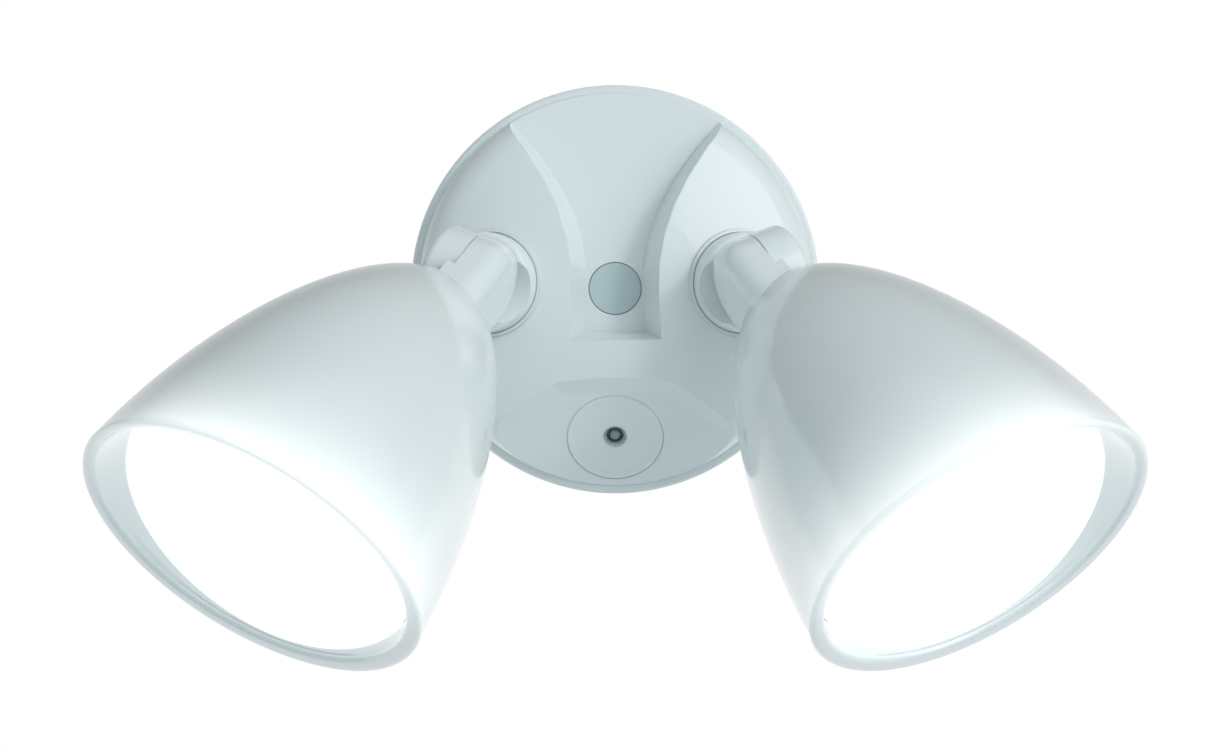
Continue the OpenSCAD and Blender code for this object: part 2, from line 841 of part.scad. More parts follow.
module at_board() {
  for (i = [0:screw_count - 1]) rotate([0, 0, 360 * i / screw_count])
    translate([board_ring_d / 2, 0, 0]) children();
}

module light_board() {
  color("whitesmoke") on_axis() difference() {
    translate([0, 0, plate_z]) cylinder(d = board_d, h = board_t);
    translate([0, 0, plate_z - over]) {
      at_board() cylinder(d = board_screw_d + fit_gap, h = board_t + 2 * over);
      cylinder(d = wire_small_d, h = board_t + 2 * over);
    }
  }
}

module board_screws() {
  color(steel) on_axis() at_board() translate([0, 0, plate_z + board_t])
    pan_screw(board_screw_d, board_t + plate_t, board_head_d, board_head_h);
}

module chip_ring(d, n) {
  for (i = [0:n - 1]) rotate([0, 0, 360 * (i + 0.5) / n])
    translate([d / 2 - chip_w / 2, -chip_w / 2, plate_z + board_t]) cube([chip_w, chip_w, chip_h]);
}

module light_chips() {
  color("gold") on_axis() {
    chip_ring(chip_ring_share * board_d, chip_count);
    chip_ring(chip_inner_share * board_d, chip_inner_count);
  }
}

module driver() {
  color("black") on_axis() translate([0, 0, plate_z - plate_t - driver_l])
    cylinder(d = driver_d, h = driver_l);
}

canopy();
canopy_gasket();
crossbar();
ground_screw();
centre_screw();
centre_seal();
centre_plug();
sensor_cover();
sensor_eye();
sensor_body();
sensor_gasket();
sensor_nut();
left_of() arm();  // arm_left
arm();  // arm_right
left_of() arm_seal();  // arm_seal_left
arm_seal();  // arm_seal_right
left_of() arm_washer();  // arm_washer_left
arm_washer();  // arm_washer_right
left_of() arm_nut();  // arm_nut_left
arm_nut();  // arm_nut_right
left_of() tilt_screw();  // tilt_screw_left
tilt_screw();  // tilt_screw_right
left_of() tilt_washer();  // tilt_washer_left
tilt_washer();  // tilt_washer_right
left_of() tilt_seal();  // tilt_seal_left
tilt_seal();  // tilt_seal_right
left_of() head_shell();  // head_shell_left
head_shell();  // head_shell_right
left_of() lens();  // lens_left
lens();  // lens_right
left_of() lens_gasket();  // lens_gasket_left
lens_gasket();  // lens_gasket_right
left_of() reflector();  // reflector_left
reflector();  // reflector_right
left_of() heat_plate();  // heat_plate_left
heat_plate();  // heat_plate_right
left_of() plate_screws();  // plate_screws_left
plate_screws();  // plate_screws_right
left_of() light_board();  // light_board_left
light_board();  // light_board_right
left_of() light_chips();  // light_chips_left
light_chips();  // light_chips_right
left_of() board_screws();  // board_screws_left
board_screws();  // board_screws_right
left_of() driver();  // driver_left
driver();  // driver_right
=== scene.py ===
import json
import math

import bpy
import bmesh
from mathutils import Matrix, Vector


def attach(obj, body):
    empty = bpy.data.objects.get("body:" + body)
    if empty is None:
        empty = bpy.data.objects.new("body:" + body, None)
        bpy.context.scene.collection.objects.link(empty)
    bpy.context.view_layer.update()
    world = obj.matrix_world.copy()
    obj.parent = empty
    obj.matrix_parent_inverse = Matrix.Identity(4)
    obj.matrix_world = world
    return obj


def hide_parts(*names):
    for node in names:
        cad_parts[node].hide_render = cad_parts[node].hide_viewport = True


# Outdoor security light: a round canopy, two knuckles and two bullet shaped heads.
# The row's frame is in metres: +X right, +Z up, the canopy faces -Y.

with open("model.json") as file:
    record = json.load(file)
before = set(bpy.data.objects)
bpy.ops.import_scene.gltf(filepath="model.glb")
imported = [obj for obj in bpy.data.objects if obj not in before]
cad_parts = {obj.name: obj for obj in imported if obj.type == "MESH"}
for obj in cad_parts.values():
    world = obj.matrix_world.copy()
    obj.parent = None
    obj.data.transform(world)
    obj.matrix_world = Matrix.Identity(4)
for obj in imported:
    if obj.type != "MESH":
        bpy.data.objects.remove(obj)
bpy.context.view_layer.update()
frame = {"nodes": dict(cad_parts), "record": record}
MM = 0.001
rad = math.radians

# Sizes of the real piece, in millimetres and degrees. The last letter says what a name measures:
# R radius, W width, H height, T thickness, L length, D depth, A angle, X or Z a place on that line.

# Canopy
CANOPY_R = 63.5
RIM_W = 2.5
RIM_H = 4.0
RIM_STEP = 0.9
DOME_R = 140.0
EDGE_R = 14.0
SEAT_X = 38.5
SEAT_RISE = 1.4
SEAT_LIFT = 0.2

# Sensor face and its cover
SENSOR_DROP = 46.0
FACE_EDGE_H = 4.4
FACE_SLOPE = 29.5
COVER_R = 14.87
COVER_T = 1.6
COVER_ROUND = 0.5
COVER_RIM_W = 1.1
DISH_D = 0.5
DISH_SLOPE_W = 1.5
DISH_SLOPE_SHARES = ((0, 0), (0.27, 0.2), (0.67, 0.84), (1, 1))
EYE_HOLE_R = 3.6
EYE_ROUND = 0.3
EYE_STEP_R = 3.2
EYE_STEP_H = 0.15
EYE_STEP_FALL = 0.1

# Knuckle
PIVOT_H = 20.0
ARM_TURN = 20.0
HEAD_TILT = 40.6
FACE_GAP = 0.15
LUG_R = 14.4
LUG_CLEAR_R = 14.85
LUG_WEDGE = 2.4
LUG_BACK = 2.0
WEB_BACK = 2.5
WIRE_RING_IN_R = 5.8
WIRE_RING_OUT_R = 10.0
WIRE_RING_D = 4.2

# Arm
ARM_LUG_W = 11.0
ARM_LUG_ROUND = 3.0
HUB_R = 15.3
HUB_H = 8.6
HUB_SINK = 0.9
HUB_ROUND = 1.6
STEM_R = 10.0
STEM_END = 13.6
WIRE_BORE_R = 6.0
WIRE_BORE_TOP = 2.0
WEB_SINK = 1.4
WEB_IN = 1.2
WEB_FOOT_R = 15.0
WEB_FOOT_Z = 7.0
WAIST_X = 0.17
SCREW_BORE_R = 3.08
SCREW_SEAT_R = 5.95
SCREW_SEAT_X = 5.8

# Head
HEAD_OFF = 3.9
HEAD_DROP = 4.0
HEAD_LUG_W = 12.0
HEAD_LUG_ROUND = 6.5
HEAD_WEB_L = 19.4
TAIL_Z = 9.0
TAIL_ROUND = 0.7
SHELL_L = 128.5
SHELL_POWER = 1.75
SHELL_ROOT = 0.55
MOUTH_R = 52.2
MOUTH_Z = 131.0
MOUTH_OUT = 11.0
MOUTH_A = 11.0
LIP_ROUND = 1.7
LIP_SHARE = 0.46
FLARE_A = 11.5
LENS_Z = 111.0
BORE_R = 45.5
LEDGE_Z = 107.0
LEDGE_LAND = 1.0
CAVITY_R = 43.7
CAVITY_Z = 19.85
HEAD_WALL = 2.6
SCREW_HOLE_R = 3.1
SCREW_HOLE_D = 11.0
SEAL_IN_R = 10.9
SEAL_OUT_R = 12.4
SEAL_D = 1.35

# How fine the round shapes are, from what angle an edge is a crease, how far the cutters reach
# and how close two points count as one
LATHE_STEPS = 96
COVER_STEPS = 128
HEAD_STEPS = 160
WALL_STEPS = 52
HOOD_STEPS = 4
CAVITY_STEPS = 16
CREASE_A = 32.0
CAD_CREASE_A = 30.0
OVERRUN = 0.1
FAR = 90.0
SAME_POINT = 1e-4
WELD = 2e-3

# Worked out: the centre of the canopy's rolled edge, the centre of its dome, and the seats
dome_edge_r = CANOPY_R - RIM_W
edge_r, edge_h = dome_edge_r - EDGE_R, RIM_H + RIM_STEP
dome_c = edge_h - math.sqrt((DOME_R - EDGE_R) ** 2 - edge_r ** 2)
seat_tilt = math.degrees(math.asin(SEAT_X / DOME_R))
seat_h = dome_c + math.sqrt(DOME_R ** 2 - SEAT_X ** 2)
face_h = FACE_EDGE_H + (dome_edge_r - SENSOR_DROP) * math.tan(rad(FACE_SLOPE))


# Frames, each with local Z out of the surface that carries the piece

def move(x, y, z):
    return Matrix.Translation((x, y, z))


def turn(angle, axis):
    return Matrix.Rotation(rad(angle), 4, axis)


WALL_M = turn(90, "X")
FACE_M = WALL_M @ move(0, -SENSOR_DROP, face_h) @ turn(FACE_SLOPE, "X")
SEAT_M = WALL_M @ move(SEAT_X, SEAT_RISE, seat_h) @ turn(seat_tilt, "Y") @ move(0, 0, SEAT_LIFT)
ARM_M = SEAT_M @ turn(ARM_TURN, "Z")
KNUCKLE_M = ARM_M @ move(0, 0, PIVOT_H)
HEAD_M = KNUCKLE_M @ turn(HEAD_TILT, "X")
AXIS_M = HEAD_M @ move(HEAD_OFF, -HEAD_DROP, 0)
TILT_M = turn(90, "Y")
SCALE_M = Matrix.Scale(MM, 4)
MIRROR_M = Matrix.Scale(-1, 4, (1, 0, 0))


# Materials

def linear(colour):
    """An sRGB hex value as linear RGBA."""
    out = []
    for i in (1, 3, 5):
        c = int(colour[i:i + 2], 16) / 255
        out.append(c / 12.92 if c <= 0.04045 else ((c + 0.055) / 1.055) ** 2.4)
    return (*out, 1.0)


def add(tree, kind, sockets=None, **props):
    """Adds a node, with values or links for its sockets."""
    n = tree.nodes.new(kind)
    for k, v in props.items():
        setattr(n, k, v)
    for k, v in (sockets or {}).items():
        if isinstance(v, bpy.types.NodeSocket):
            tree.links.new(v, n.inputs[k])
        else:
            n.inputs[k].default_value = v
    return n


def grain(size_mm):
    """The scale at which a noise has features of this size."""
    return 1 / (size_mm * MM)


def material(name):
    m = bpy.data.materials.new(name)
    m.use_nodes = True
    t = m.node_tree
    t.nodes.clear()
    out = add(t, "ShaderNodeOutputMaterial")
    bsdf = add(t, "ShaderNodeBsdfPrincipled")
    t.links.new(bsdf.outputs[0], out.inputs[0])
    coords = add(t, "ShaderNodeTexCoord")
    return m, t, bsdf, coords.outputs["Object"]


# Sizes of the surfaces' patterns. The polymers' grain and the lens's frost are finer on the real ones
# and are drawn as coarse as they need to show.
RELIEF_H = 0.2
PEEL_SIZE = 2.38
CLOUD_SIZE = 38.5
GRAIN_SIZE = 3.33
FROST_SIZE = 2.0


def relief(t, edge, height, strength):
    """Normals that round the sharp edges by edge in millimetres, with a fine relief on top."""
    sockets = {"Strength": strength, "Distance": RELIEF_H * MM, "Height": height}
    if edge:
        sockets["Normal"] = add(t, "ShaderNodeBevel", {"Radius": edge * MM}, samples=4).outputs[0]
    return add(t, "ShaderNodeBump", sockets).outputs[0]


# Where the painted glow begins and ends on a head, from the middle of its slanted mouth:
# square to the mouth, over the lip's last millimetres, upward and toward the canopy. The glow is emission in
# the shell's paint that stands in for the haze of the lit lens spilling onto the lip.
HAZE_ALONG = (-62.0, -2.0)
HAZE_LAST = (-2.8, -0.6)
HAZE_UP = (-14.0, 30.0)
HAZE_INBOARD = (-56.0, -12.0)
HAZE_POWER = 4.2
HAZE_LAST_LOSS = 0.25
HAZE_LEVEL = 0.48


def painted_lip_glow(t, xyz):
    """Painted glow: 0 over the tail and the lower side of a head, rising to HAZE_LEVEL at the upper side of
    its lip.
    It is emission in the shell's paint that stands in for the lit lens's light.
    """
    parts = add(t, "ShaderNodeSeparateXYZ", {0: xyz})
    side = add(t, "ShaderNodeMath", {0: parts.outputs[0]}, operation="ABSOLUTE")
    folded = add(t, "ShaderNodeCombineXYZ", {0: side.outputs[0], 1: parts.outputs[1], 2: parts.outputs[2]})

    def ramp(direction, reach, bend="SMOOTHSTEP"):
        way = AXIS_M.to_3x3() @ Vector(direction)
        zero = way.dot(AXIS_M @ Vector((0, 0, LENS_Z + MOUTH_OUT)))
        along = add(t, "ShaderNodeVectorMath", {0: folded.outputs[0], 1: tuple(way)}, operation="DOT_PRODUCT")
        ends = {"From Min": (zero + reach[0]) * MM, "From Max": (zero + reach[1]) * MM}
        return add(t, "ShaderNodeMapRange", {"Value": along.outputs["Value"], **ends},
                   interpolation_type=bend).outputs[0]

    outward = (0, -math.sin(rad(MOUTH_A)), math.cos(rad(MOUTH_A)))
    haze = add(t, "ShaderNodeMath", {0: ramp(outward, HAZE_ALONG, "LINEAR"), 1: HAZE_POWER},
               operation="POWER")
    last = add(t, "ShaderNodeMath", {0: ramp(outward, HAZE_LAST), 1: -HAZE_LAST_LOSS, 2: 1.0},
               operation="MULTIPLY_ADD")
    for share in (last.outputs[0], ramp((0, 1, 0), HAZE_UP), ramp((-1, 0, 0), HAZE_INBOARD), HAZE_LEVEL):
        haze = add(t, "ShaderNodeMath", {0: haze.outputs[0], 1: share}, operation="MULTIPLY")
    return haze.outputs[0]


def powder_coat(name, coat, edge, lit=False):
    """Baked polyester powder: faint orange peel under a clear gloss that clouds a little. With lit, it also
    gets a painted glow near the lip.
    """
    m, t, bsdf, xyz = material(name)
    # Painted glow near the lip: emission in the paint stands in for the lens's light on the shell
    if lit:
        t.links.new(painted_lip_glow(t, xyz), bsdf.inputs["Emission Strength"])
        bsdf.inputs["Emission Color"].default_value = (1, 0.97, 0.96, 1)
    peel = add(t, "ShaderNodeTexNoise", {"Vector": xyz, "Scale": grain(PEEL_SIZE), "Detail": 2.0})
    cloud = add(t, "ShaderNodeTexNoise", {"Vector": xyz, "Scale": grain(CLOUD_SIZE), "Detail": 3.0})
    rough = add(t, "ShaderNodeMapRange", {"Value": cloud.outputs["Fac"], "To Min": 0.2, "To Max": 0.26})
    t.links.new(rough.outputs[0], bsdf.inputs["Roughness"])
    bsdf.inputs["Base Color"].default_value = linear("#e4eaeb")
    bsdf.inputs["Coat Weight"].default_value = coat
    bsdf.inputs["Coat Roughness"].default_value = 0.06
    bsdf.inputs["Coat IOR"].default_value = 1.7
    t.links.new(relief(t, edge, peel.outputs["Fac"], 0.04), bsdf.inputs["Normal"])
    return m


def plain(name, colour, roughness, metallic=0.0, edge=0.25, strength=0.05):
    """An even surface with soft edges and a fine grain."""
    m, t, bsdf, xyz = material(name)
    g = add(t, "ShaderNodeTexNoise", {"Vector": xyz, "Scale": grain(GRAIN_SIZE), "Detail": 2.0})
    low = add(t, "ShaderNodeMapRange", {"Value": g.outputs["Fac"], "To Min": roughness - 0.04,
                                        "To Max": roughness + 0.06})
    t.links.new(low.outputs[0], bsdf.inputs["Roughness"])
    bsdf.inputs["Base Color"].default_value = linear(colour)
    bsdf.inputs["Metallic"].default_value = metallic
    t.links.new(relief(t, edge, g.outputs["Fac"], strength), bsdf.inputs["Normal"])
    return m


def lit_lens():
    """Frosted lens, lit from behind: an even white that hides the chips."""
    m, t, bsdf, xyz = material("frosted lens, lit")
    bsdf.inputs["Base Color"].default_value = linear("#8a8d8e")
    bsdf.inputs["Roughness"].default_value = 0.5
    bsdf.inputs["Emission Color"].default_value = linear("#fdfefe")
    bsdf.inputs["Emission Strength"].default_value = 0.86
    frost = add(t, "ShaderNodeTexNoise", {"Vector": xyz, "Scale": grain(FROST_SIZE), "Detail": 2.0})
    t.links.new(relief(t, 0, frost.outputs["Fac"], 0.05), bsdf.inputs["Normal"])
    return m


# One finish for each slot of the record, and one more for the heads
MATERIALS = {
    # White with a soft sheen
    "white_paint": powder_coat("white powder coat", coat=0.2, edge=0.7),
    # The same coat as a wet gloss, with a painted glow near the lip that stands in for the lit lens's haze
    "white_lit": powder_coat("white powder coat, painted lip glow", coat=0.8, edge=0.2, lit=True),
    # Matte black seals
    "rubber": plain("moulded black rubber", "#1a1b1c", 0.7),
    # Dull off white, the roughest of all
    "foam": plain("cut closed cell foam", "#cfcfca", 0.85, strength=0.3),
    # Bright, slightly milky metal
    "zinc_steel": plain("zinc plated steel", "#b9bcbe", 0.32, metallic=1.0),
    # The green that marks a ground screw
    "green_screw": plain("green plated steel", "#2c6a3c", 0.35),
    # Cool grey with a wide soft edge
    "grey_plug": plain("moulded grey polymer", "#bccdd0", 0.5, edge=0.5),
    # Darker grey, seen only round the bead
    "black_plastic": plain("moulded grey plastic", "#94a1a4", 0.5),
    # Glossy bead
    "eye_resin": plain("cast grey resin", "#8a979a", 0.15),
    # Glowing white
    "frosted_lens": lit_lens(),
    # Clean white cone
    "reflector_white": plain("moulded white polycarbonate", "#eef0f0", 0.3),
    # Bare sheet, a little lighter than the screws
    "plate_metal": plain("rolled bare aluminium", "#c3c6c8", 0.35, metallic=1.0),
    # White board
    "board_white": plain("white solder mask", "#e9ecec", 0.35),
    # Yellow chips
    "chip_yellow": plain("cast yellow phosphor", "#f0cf52", 0.4),
    # Dark can
    "driver_grey": plain("dark potting resin", "#3a3d40", 0.6),
}

slot_of = {s["node"]: s["material_slot"] for s in frame["record"]["subparts"]}
for name, obj in frame["nodes"].items():
    obj.data.materials.clear()
    obj.data.materials.append(MATERIALS[slot_of[name]])
    obj.data.shade_smooth()
    obj.data.set_sharp_from_angle(angle=rad(CAD_CREASE_A))


# Lathe

def lathe_tree():
    """Sweeps a flat outline round a circle about Z and closes it where it meets the axis."""
    tree = bpy.data.node_groups.new("lathe", "GeometryNodeTree")
    sockets = {}
    for label, kind in (("Outline", "Geometry"), ("Steps", "Int"), ("Circle radius", "Float"),
                        ("Same point", "Float"), ("Finish", "Material")):
        socket = tree.interface.new_socket(label, in_out="INPUT", socket_type="NodeSocket" + kind)
        sockets[label] = socket.identifier
    tree.interface.new_socket("Turned", in_out="OUTPUT", socket_type="NodeSocketGeometry")
    given = add(tree, "NodeGroupInput").outputs
    circle = add(tree, "GeometryNodeCurvePrimitiveCircle", {"Resolution": given["Steps"],
                                                            "Radius": given["Circle radius"]})
    outline = add(tree, "GeometryNodeMeshToCurve", {"Mesh": given["Outline"]})
    swept = add(tree, "GeometryNodeCurveToMesh", {"Curve": circle.outputs[0],
                                                  "Profile Curve": outline.outputs[0]})
    closed = add(tree, "GeometryNodeMergeByDistance", {"Geometry": swept.outputs[0],
                                                       "Distance": given["Same point"]})
    real = add(tree, "GeometryNodeRealizeInstances", {"Geometry": closed.outputs[0]})
    finished = add(tree, "GeometryNodeSetMaterial", {"Geometry": real.outputs[0],
                                                     "Material": given["Finish"]})
    add(tree, "NodeGroupOutput", {"Turned": finished.outputs[0]})
    return tree, sockets


LATHE, LATHE_SOCKETS = lathe_tree()


def linked(name, points, edges=(), faces=()):
    """A new object at the origin."""
    me = bpy.data.meshes.new(name)
    me.from_pydata(points, edges, faces)
    o = bpy.data.objects.new(name, me)
    bpy.context.scene.collection.objects.link(o)
    return o


def bake(obj):
    """Turns what the object's modifiers make of it into its plain mesh."""
    bpy.context.view_layer.update()
    shown = obj.evaluated_get(bpy.context.evaluated_depsgraph_get())
    me = bpy.data.meshes.new_from_object(shown)
    obj.modifiers.clear()
    obj.data = me


def weld(obj, distance, facing_out=False):
    """Joins points that are closer than distance. Turns all faces outward, or else splits the many-sided
    ones, which would shade with dark slits."""
    bm = bmesh.new()
    bm.from_mesh(obj.data)
    bmesh.ops.remove_doubles(bm, verts=bm.verts, dist=distance)
    bmesh.ops.dissolve_degenerate(bm, edges=bm.edges, dist=distance / 2)
    if facing_out:
        bmesh.ops.recalc_face_normals(bm, faces=bm.faces)
    else:
        bmesh.ops.triangulate(bm, faces=[f for f in bm.faces if len(f.verts) > 4])
    bm.to_mesh(obj.data)
    bm.free()


def lathe(name, outline, matrix=Matrix.Identity(4), steps=LATHE_STEPS):
    """Turns a closed outline of (radius, height) about local Z. A side that lies on the axis is left out.
    The circle has the outline's largest radius, so that a lug's round end meets its straight web exactly."""
    k = len(outline)
    sides = [(u, (u + 1) % k) for u in range(k) if outline[u][0] > 0 or outline[(u + 1) % k][0] > 0]
    circle_r = max(r for r, z in outline)
    o = linked(name, [(r - circle_r, -z, 0) for r, z in outline], sides)
    turned = o.modifiers.new("lathe", "NODES")
    turned.node_group = LATHE
    turned[LATHE_SOCKETS["Steps"]] = steps
    turned[LATHE_SOCKETS["Circle radius"]] = circle_r
    turned[LATHE_SOCKETS["Same point"]] = SAME_POINT
    turned[LATHE_SOCKETS["Finish"]] = MATERIALS["white_paint"]
    bake(o)
    o.data.transform(matrix)
    weld(o, SAME_POINT, facing_out=True)
    return o


# Other solids

def prism(name, outline, z0, z1, matrix=Matrix.Identity(4)):
    """Raises an outline from z0 to z1."""
    k = len(outline)
    points = [(x, y, z) for z in (z0, z1) for x, y in outline]
    faces = [list(range(k)), list(range(2 * k - 1, k - 1, -1))]
    faces += [[i, (i + 1) % k, k + (i + 1) % k, k + i] for i in range(k)]
    o = linked(name, [matrix @ Vector(p) for p in points], (), faces)
    weld(o, SAME_POINT, facing_out=True)
    return o


def merge(kind, first, *others):
    """Adds, cuts away or intersects the others with the first."""
    for o in others:
        m = first.modifiers.new("merge", "BOOLEAN")
        m.operation = kind
        m.solver = "EXACT"
        m.object = o
        bake(first)
        weld(first, WELD)
        bpy.data.objects.remove(o)
    return first


def arc(cx, cy, r, a0, a1, n=12):
    turns = [rad(a0 + (a1 - a0) * i / n) for i in range(n + 1)]
    return [(cx + r * math.cos(a), cy + r * math.sin(a)) for a in turns]


def lug_outline(x0, x1, corner):
    """Half of a lug's section: from the parting side at x0 to the rounded outer side at x1."""
    s = 1 if x1 > 0 else -1
    bend = arc(x1 - s * corner, LUG_R - corner, corner, 90, 0 if s > 0 else 180)
    return [(x0, 0.0), (x0, LUG_R)] + bend + [(x1, 0.0)]


def lug_end(x0, x1, corner, matrix):
    """The round end of a lug, about the tilt axis."""
    return lathe("lug end", [(y, x) for x, y in lug_outline(x0, x1, corner)], matrix @ TILT_M)


def lug_web(x0, x1, corner, z0, z1, matrix):
    """The straight part of a lug, with the section of its round end."""
    half = lug_outline(x0, x1, corner)[1:-1]
    return prism("lug web", half + [(x, -y) for x, y in reversed(half)], z0, z1, matrix)


# Heads

def shell_r(z):
    """Outside radius at distance z from the tilt axis."""
    if z >= MOUTH_Z:
        return MOUTH_R
    return MOUTH_R * (1 - ((MOUTH_Z - z) / SHELL_L) ** SHELL_POWER) ** SHELL_ROOT


def mouth_plane(r, a):
    """Height of the slanted mouth at radius r and angle a."""
    return LENS_Z + MOUTH_OUT + r * math.sin(a) * math.tan(rad(MOUTH_A))


def hood_r(z):
    """Inside radius in front of the lens, which flares toward the mouth."""
    return BORE_R + (z - LENS_Z) * math.tan(rad(FLARE_A))


def hood_end_r(a):
    """Inside radius where the flaring hood meets the slanted mouth."""
    flare = math.tan(rad(FLARE_A))
    return (BORE_R + MOUTH_OUT * flare) / (1 - flare * math.sin(a) * math.tan(rad(MOUTH_A)))


def shell_outline(a):
    """Half section of the head at angle a about its centre line, from the tail outside to the tail inside."""
    r_in = hood_end_r(a)
    lip = min(LIP_SHARE * (MOUTH_R - r_in), LIP_ROUND)
    start = TAIL_Z + TAIL_ROUND
    end = mouth_plane(MOUTH_R, a) - lip
    rows = [(0.0, TAIL_Z)]
    rows += arc(shell_r(start) - TAIL_ROUND, start, TAIL_ROUND, -90, 0, 3)[:-1]
    for i in range(WALL_STEPS + 1):
        z = start + (end - start) * (1 - math.cos(rad(90 * i / WALL_STEPS)))
        rows.append((shell_r(z), z))
    bends = arc(MOUTH_R - lip, -lip, lip, 0, 90, 6)[1:] + arc(r_in + lip, -lip, lip, 90, 180, 6)
    rows += [(r, mouth_plane(r, a) + rise) for r, rise in bends]
    hood_end = rows[-1][1]
    for i in range(1, HOOD_STEPS):
        z = hood_end + (LENS_Z - hood_end) * i / HOOD_STEPS
        rows.append((hood_r(z), z))
    rows += [(BORE_R, LENS_Z), (BORE_R, LEDGE_Z), (CAVITY_R, LEDGE_Z)]
    for i in range(CAVITY_STEPS + 1):
        z = CAVITY_Z + (LEDGE_Z - LEDGE_LAND - CAVITY_Z) * math.cos(rad(90 * i / CAVITY_STEPS))
        rows.append((min(CAVITY_R, shell_r(z) - HEAD_WALL), z))
    return rows + [(0.0, CAVITY_Z)]


def head_body():
    """The bullet shell. Its section changes with the angle, so it isn't a plain lathe."""
    n = HEAD_STEPS
    points, faces = [], []
    for i in range(n):
        a = 2 * math.pi * i / n
        outline = shell_outline(a)
        points += [AXIS_M @ Vector((r * math.cos(a), r * math.sin(a), z)) for r, z in outline]
    k = len(outline)
    for i in range(n):
        j = (i + 1) % n
        faces.append([i * k, j * k + 1, i * k + 1])
        faces += [[i * k + u, j * k + u, j * k + u + 1, i * k + u + 1] for u in range(1, k - 2)]
        faces.append([i * k + k - 2, j * k + k - 2, i * k + k - 1])
    o = linked("head shell", points, (), faces)
    weld(o, SAME_POINT, facing_out=True)
    return o


def head_shell():
    """Bullet shell with the inboard lug of the knuckle."""
    lug = lug_end(LUG_BACK, -HEAD_LUG_W, HEAD_LUG_ROUND, HEAD_M)
    web = lug_web(WEB_BACK, -HEAD_LUG_W, HEAD_LUG_ROUND, 0.0, HEAD_WEB_L, HEAD_M)
    room = lathe("room for the arm's lug", [
        (0, -SCREW_HOLE_D), (SCREW_HOLE_R, -SCREW_HOLE_D), (SCREW_HOLE_R, -FACE_GAP),
        (WIRE_RING_IN_R, -FACE_GAP), (WIRE_RING_IN_R, -WIRE_RING_D),
        (WIRE_RING_OUT_R, -WIRE_RING_D), (WIRE_RING_OUT_R, -FACE_GAP),
        (SEAL_IN_R, -FACE_GAP), (SEAL_IN_R, -SEAL_D), (SEAL_OUT_R, -SEAL_D), (SEAL_OUT_R, -FACE_GAP),
        (LUG_CLEAR_R + LUG_WEDGE, -FACE_GAP), (LUG_CLEAR_R, ARM_LUG_W), (LUG_CLEAR_R, FAR), (0, FAR)],
        HEAD_M @ TILT_M)
    merge("UNION", lug, web)
    return merge("DIFFERENCE", merge("UNION", head_body(), lug), room)


# Arms

def arm():
    """Hub with a hollow stem, and the outboard lug of the knuckle on a web."""
    stem = [(WIRE_BORE_R, -STEM_END), (STEM_R, -STEM_END), (STEM_R, -HUB_SINK), (HUB_R, -HUB_SINK)]
    hub = arc(HUB_R - HUB_ROUND, HUB_H - HUB_ROUND, HUB_ROUND, 0, 90) + [(0, HUB_H)]
    bore = [(0, WIRE_BORE_TOP), (WIRE_BORE_R, WIRE_BORE_TOP)]
    body = lathe("arm", stem + hub + bore, ARM_M)
    lug = lug_end(-LUG_BACK, ARM_LUG_W, ARM_LUG_ROUND, KNUCKLE_M)
    web = lug_web(-WEB_BACK, ARM_LUG_W, ARM_LUG_ROUND, HUB_H - WEB_SINK, PIVOT_H, ARM_M)
    lug_reach = math.hypot(ARM_LUG_W, LUG_R)
    cone = lathe("cone that narrows the web's foot", [
        (0, WEB_FOOT_Z), (WEB_FOOT_R, WEB_FOOT_Z + OVERRUN),
        (lug_reach, PIVOT_H + OVERRUN), (0, PIVOT_H + OVERRUN)], ARM_M)
    w = LUG_R - WEB_IN
    waist = prism("waist", [(WAIST_X, -w), (FAR, -w), (FAR, w), (WAIST_X, w)], 0.0, FAR, ARM_M)
    room = lathe("room for the head's lug", [
        (0, -FAR), (LUG_CLEAR_R, -FAR), (LUG_CLEAR_R, FACE_GAP), (WIRE_RING_OUT_R, FACE_GAP),
        (WIRE_RING_OUT_R, WIRE_RING_D), (WIRE_RING_IN_R, WIRE_RING_D), (WIRE_RING_IN_R, FACE_GAP),
        (SCREW_BORE_R, FACE_GAP), (SCREW_BORE_R, SCREW_SEAT_X), (SCREW_SEAT_R, SCREW_SEAT_X),
        (SCREW_SEAT_R, FAR), (0, FAR)], KNUCKLE_M @ TILT_M)
    merge("INTERSECT", web, cone, waist)
    return merge("DIFFERENCE", merge("UNION", body, lug, web), room)


# Sensor cover

def cover():
    """Round cover with a soft edge, a shallow dish and the stepped eye hole."""
    rim_in = COVER_R - COVER_RIM_W
    slope = [(rim_in - across * DISH_SLOPE_W, -down * DISH_D) for across, down in DISH_SLOPE_SHARES]
    eye = arc(EYE_HOLE_R + EYE_ROUND, -DISH_D - EYE_ROUND, EYE_ROUND, 90, 180, 2)
    step = [(EYE_HOLE_R, EYE_STEP_H + EYE_STEP_FALL - COVER_T), (EYE_STEP_R, EYE_STEP_H - COVER_T)]
    edge = arc(COVER_R - COVER_ROUND, -COVER_ROUND, COVER_ROUND, 0, 90, 6)
    return lathe("cover", [(EYE_STEP_R, -COVER_T), (COVER_R, -COVER_T)] + edge + slope + eye + step,
                 FACE_M, COVER_STEPS)


def finish(obj, name, body, replaced, coat="white_paint", mirrored=False):
    """Brings a piece into metres and hands it to the body that carries it."""
    obj.name = name
    obj.data.transform(SCALE_M)
    if mirrored:
        obj.data.transform(MIRROR_M)
        obj.data.flip_normals()
    obj.data.validate()
    obj.data.shade_smooth()
    obj.data.set_sharp_from_angle(angle=rad(CREASE_A))
    obj.data.materials.clear()
    obj.data.materials.append(MATERIALS[coat])
    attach(obj, body)
    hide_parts(replaced)


finish(cover(), "cover_coated", "canopy_assembly", "sensor_cover")
for side in ("left", "right"):
    finish(head_shell(), f"{side}_head_shell_coated", f"{side}_head", f"head_shell_{side}",
           coat="white_lit", mirrored=side == "left")
    finish(arm(), f"{side}_arm_coated", f"{side}_arm", f"arm_{side}", mirrored=side == "left")


# Stage, in metres

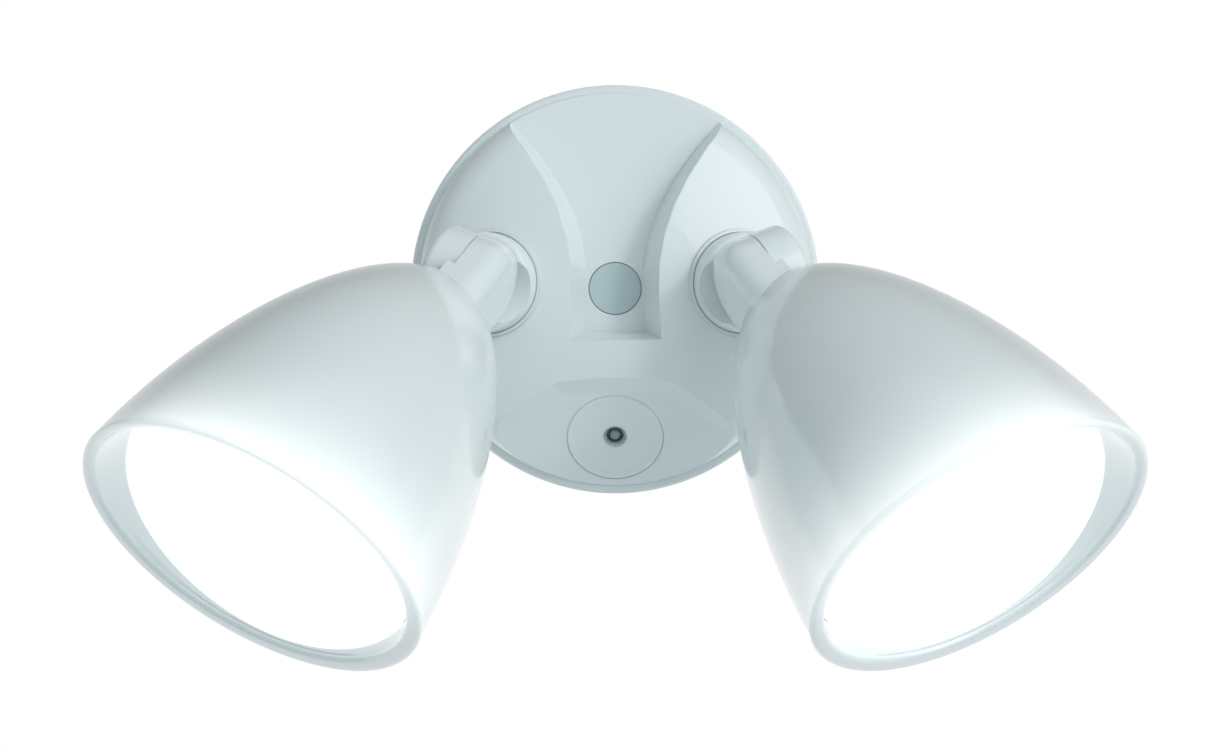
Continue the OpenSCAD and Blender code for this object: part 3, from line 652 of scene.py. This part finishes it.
BACKDROP_SIZE = 12.0
BACKDROP_Y = 1.2
BACKDROP_FADE = (-0.2, 0.9)
BACKDROP_LEVELS = (1.0, 0.25)
AIM = (0, -0.05, -0.02)


def staged(name, data, place, rotation):
    o = bpy.data.objects.new(name, data)
    bpy.context.scene.collection.objects.link(o)
    o.location = place
    o.rotation_euler = rotation
    return o


def backdrop_paper():
    """White paper, lit from below, that the camera sees as plain white."""
    m, t, bsdf, xyz = material("backlit white paper")
    bsdf.inputs["Base Color"].default_value = (0, 0, 0, 1)
    bsdf.inputs["Roughness"].default_value = 1.0
    bsdf.inputs["Specular IOR Level"].default_value = 0.0
    bsdf.inputs["Emission Color"].default_value = (1, 1, 1, 1)
    place = add(t, "ShaderNodeSeparateXYZ", {0: xyz})
    fade = add(t, "ShaderNodeMapRange", {"Value": place.outputs[1],
                                         "From Min": BACKDROP_FADE[0], "From Max": BACKDROP_FADE[1],
                                         "To Min": BACKDROP_LEVELS[0], "To Max": BACKDROP_LEVELS[1]})
    seen = add(t, "ShaderNodeLightPath").outputs["Is Camera Ray"]
    level = add(t, "ShaderNodeMath", {0: seen, 1: fade.outputs[0]}, operation="MAXIMUM")
    t.links.new(level.outputs[0], bsdf.inputs["Emission Strength"])
    return m


def backdrop():
    h = BACKDROP_SIZE / 2
    me = bpy.data.meshes.new("backdrop")
    me.from_pydata([(-h, -h, 0), (h, -h, 0), (h, h, 0), (-h, h, 0)], [], [(0, 1, 2, 3)])
    me.materials.append(backdrop_paper())
    staged("backdrop", me, (0, BACKDROP_Y, 0), (rad(90), 0, 0))


def lamp(name, place, size, power):
    light = bpy.data.lights.new(name, "AREA")
    light.shape = "DISK"
    light.size = size
    light.energy = power
    aim = (Vector(AIM) - Vector(place)).to_track_quat("-Z", "Y").to_euler()
    return staged(name, light, place, aim)


def studio_world():
    """Soft cool light, a little stronger from below, that the camera sees as plain white."""
    world = bpy.data.worlds.new("studio")
    world.use_nodes = True
    t = world.node_tree
    t.nodes.clear()
    way = add(t, "ShaderNodeTexCoord")
    height = add(t, "ShaderNodeSeparateXYZ", {0: way.outputs["Generated"]})
    level = add(t, "ShaderNodeMapRange", {"Value": height.outputs[2], "From Min": -1.0, "From Max": 1.0,
                                          "To Min": 0.64, "To Max": 0.46})
    soft = add(t, "ShaderNodeBackground", {"Color": (0.86, 1.0, 1.03, 1), "Strength": level.outputs[0]})
    white = add(t, "ShaderNodeBackground", {"Color": (1, 1, 1, 1), "Strength": 1.0})
    seen = add(t, "ShaderNodeLightPath").outputs["Is Camera Ray"]
    either = add(t, "ShaderNodeMixShader", {0: seen, 1: soft.outputs[0], 2: white.outputs[0]})
    add(t, "ShaderNodeOutputWorld", {0: either.outputs[0]})
    return world


backdrop()
lamp("soft box", place=(1.15, -1.2, 0.7), size=1.6, power=11.5)
lamp("spot", place=(1.1, -1.2, 0.85), size=0.3, power=6).visible_glossy = False
bpy.context.scene.world = studio_world()

# Camera: level, square to the wall and 900 mm in front of it
FOCAL_PX = 2882.0
PHOTO_W_PX = 1227
SENSOR_W = 36.0
CAMERA_PLACE = (-0.0005, -0.9, -0.027)
cam = bpy.data.cameras.new("camera")
cam.sensor_fit = "HORIZONTAL"
cam.sensor_width = SENSOR_W
cam.lens = FOCAL_PX / PHOTO_W_PX * SENSOR_W
cam.clip_start = 0.05
cam.clip_end = 50
cam_obj = bpy.data.objects.new("camera", cam)
bpy.context.scene.collection.objects.link(cam_obj)
cam_obj.location = CAMERA_PLACE
cam_obj.rotation_euler = (rad(90), 0, 0)
bpy.context.scene.camera = cam_obj
bpy.context.scene.view_settings.view_transform = "Standard"
